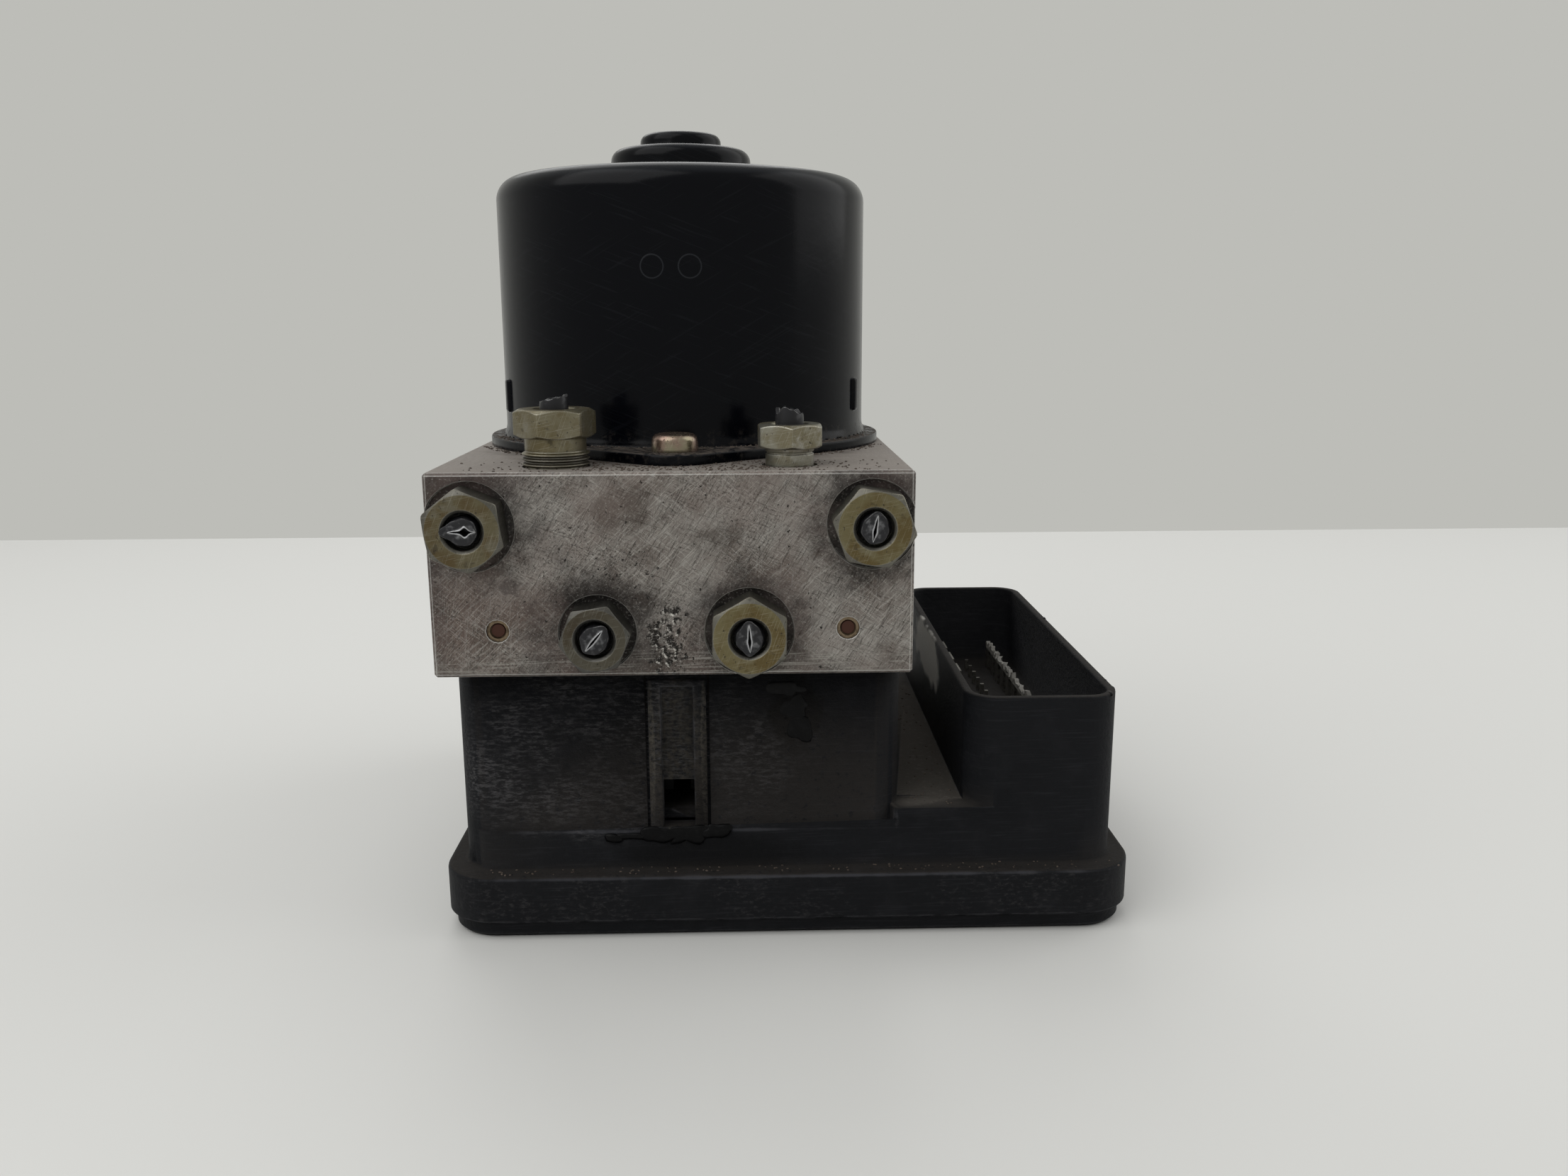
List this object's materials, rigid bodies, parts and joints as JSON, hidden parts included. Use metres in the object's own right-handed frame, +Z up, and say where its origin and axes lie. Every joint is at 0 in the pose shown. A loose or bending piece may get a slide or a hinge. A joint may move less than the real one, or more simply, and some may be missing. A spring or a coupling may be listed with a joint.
{
  "type": "abs brake module",
  "caption": "Hydraulic brake control unit: aluminium valve block with a pump motor on top, pipe nuts with cut pipe ends, and a plastic controller with an open plug socket.",
  "frame": {"origin": "where the motor's axis meets the surface that the unit stands on", "axes": "+X towards the plug socket, +Y from the face with the four pipe nuts to the back, +Z up along the motor's axis"},
  "size_m": [0.1295, 0.1217, 0.1496],
  "materials": {
    "aluminium": "milled aluminium, dulled, stained and scratched",
    "housing_plastic": "scuffed and dusty glass-filled plastic",
    "can_paint": "gloss black coating with rubbed edges",
    "zinc": "zinc plating, dulled",
    "yellow_zinc": "yellow passivated zinc",
    "pipe_coating": "dark green-black pipe coating with bare cut ends",
    "steel": "bright steel",
    "rubber": "black rubber",
    "ferrite": "dark grey ferrite",
    "laminations": "stacked electrical steel",
    "copper": "enamelled copper",
    "carbon": "carbon",
    "board": "green solder mask",
    "tin": "tin-plated brass",
    "moulding": "dark grey moulding",
    "plug_metal": "dull copper-brown sealing plug"
  },
  "bodies": {
    "module": {"hydraulic_block": "aluminium", "controller_housing": "housing_plastic", "controller_cover": "housing_plastic", "cover_seal": "rubber", "chamber_gasket": "rubber", "circuit_board": "board", "connector_pins": "tin", "controller_screws": "steel", "motor_can": "can_paint", "motor_screws": "yellow_zinc", "motor_magnets": "ferrite", "upper_bearing": "steel", "lower_bearing": "steel", "brush_carrier": "moulding", "carbon_brushes": "carbon", "brush_springs": "steel", "terminal_sleeve": "moulding", "motor_terminals": "tin", "inlet_coils": "steel", "outlet_coils": "steel", "bore_plugs": "plug_metal", "pump_piston_left": "steel", "pump_spring_left": "steel", "pump_plug_left": "aluminium", "accumulator_spring_left": "steel", "accumulator_cap_left": "steel", "inlet_nut_left": "zinc", "inlet_pipe_left": "pipe_coating", "pump_piston_right": "steel", "pump_spring_right": "steel", "pump_plug_right": "aluminium", "accumulator_spring_right": "steel", "accumulator_cap_right": "steel", "inlet_nut_right": "zinc", "inlet_pipe_right": "pipe_coating", "inlet_valve_1": "steel", "outlet_valve_1": "steel", "inlet_valve_2": "steel", "outlet_valve_2": "steel", "inlet_valve_3": "steel", "outlet_valve_3": "steel", "inlet_valve_4": "steel", "outlet_valve_4": "steel", "outlet_nut_upper_left": "zinc", "outlet_pipe_upper_left": "pipe_coating", "outlet_nut_upper_right": "zinc", "outlet_pipe_upper_right": "pipe_coating", "outlet_nut_lower_left": "zinc", "outlet_pipe_lower_left": "pipe_coating", "outlet_nut_lower_right": "zinc", "outlet_pipe_lower_right": "pipe_coating"},
    "rotor": {"motor_shaft": "steel", "eccentric_bearing": "steel", "armature_core": "laminations", "armature_windings": "copper", "commutator": "copper"},
    "accumulator_left": {"accumulator_piston_left": "aluminium"},
    "accumulator_right": {"accumulator_piston_right": "aluminium"}
  },
  "joints": [
    {"name": "rotor_spin", "type": "hinge", "parent": "module", "child": "rotor", "pos_m": [0, 0, 0.11], "axis": [0, 0, 1], "continuous": true},
    {"name": "accumulator_slide_left", "type": "slide", "parent": "module", "child": "accumulator_left", "axis": [0, 1, 0], "range_m": [0, 0.008], "stiffness_N_per_m": 5000, "deforming": ["accumulator_spring_left"]},
    {"name": "accumulator_slide_right", "type": "slide", "parent": "module", "child": "accumulator_right", "axis": [0, 1, 0], "range_m": [0, 0.008], "stiffness_N_per_m": 5000, "deforming": ["accumulator_spring_right"]}
  ]
}
